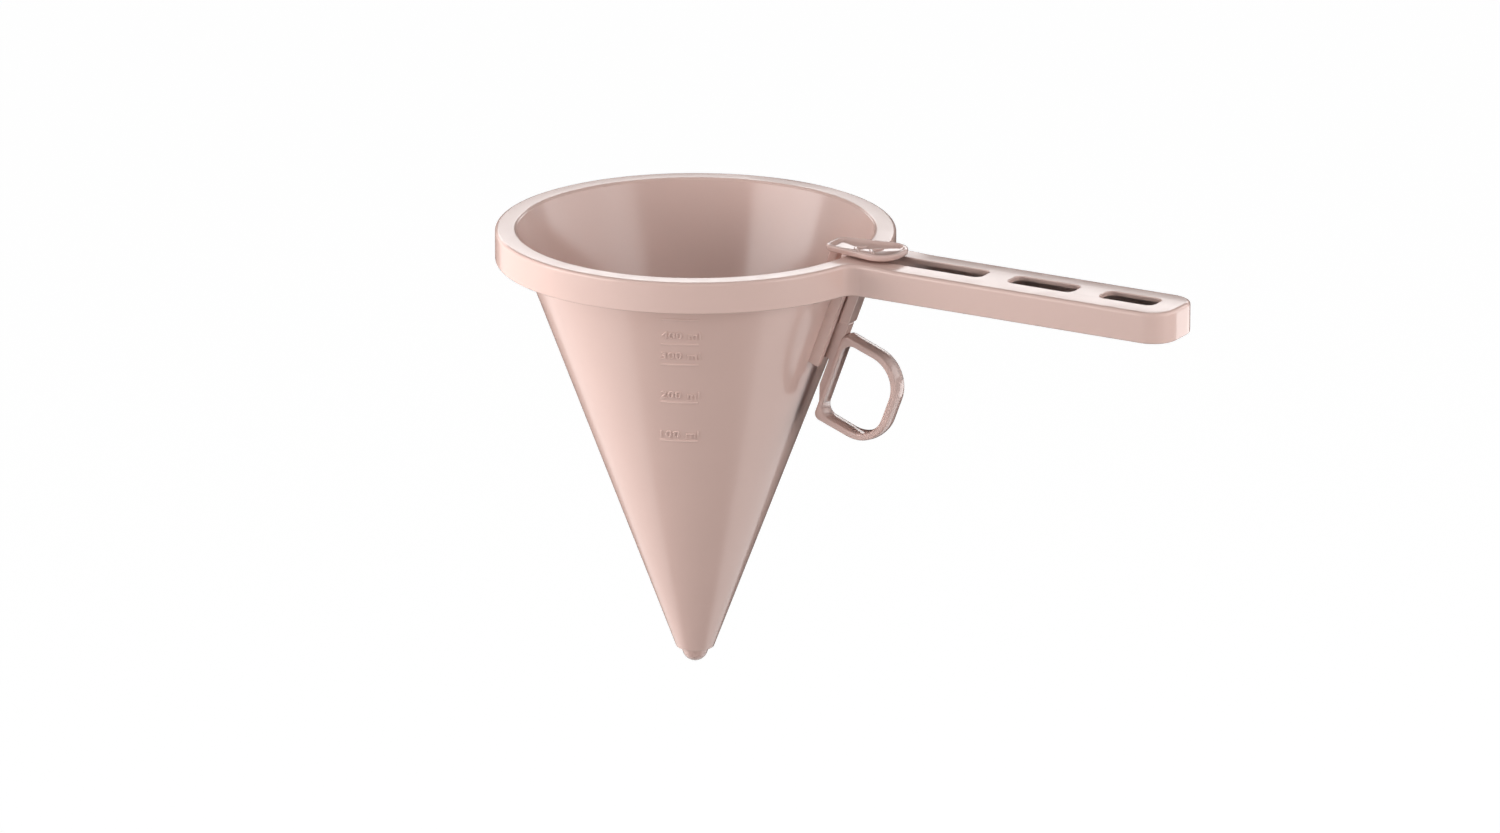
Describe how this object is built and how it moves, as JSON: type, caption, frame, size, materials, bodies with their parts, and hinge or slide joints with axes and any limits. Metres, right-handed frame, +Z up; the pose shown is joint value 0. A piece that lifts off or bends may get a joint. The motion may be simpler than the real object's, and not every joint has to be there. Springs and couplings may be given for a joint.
{
  "type": "piston funnel",
  "caption": "Conical dispensing funnel with a flat slotted handle and a sliding stopper on a stem, lifted by a finger ring under the handle.",
  "frame": {"origin": "centre of the collar's underside, on the cone's axis, where the funnel rests in a stand's ring", "axes": "+Z up along the cone's axis, +X along the handle away from the cone"},
  "size_m": [0.28, 0.15, 0.1741],
  "materials": {
    "body_plastic": "smooth moulded plastic, dusty pink, glossy",
    "piston_plastic": "smooth moulded plastic, dusty pink, glossy"
  },
  "bodies": {
    "funnel_body": {"funnel_cone": "body_plastic", "rim_collar": "body_plastic", "handle": "body_plastic", "front_guide_rail": "body_plastic", "rear_guide_rail": "body_plastic"},
    "piston": {"thumb_pad": "piston_plastic", "piston_stem": "piston_plastic", "stopper": "piston_plastic", "slide_arm": "piston_plastic", "slide_runner": "piston_plastic", "finger_ring": "piston_plastic"}
  },
  "joints": [
    {"name": "piston_slide", "type": "slide", "parent": "funnel_body", "child": "piston", "axis": [0.35, 0, 0.9367], "range_m": [0, 0.02]}
  ]
}
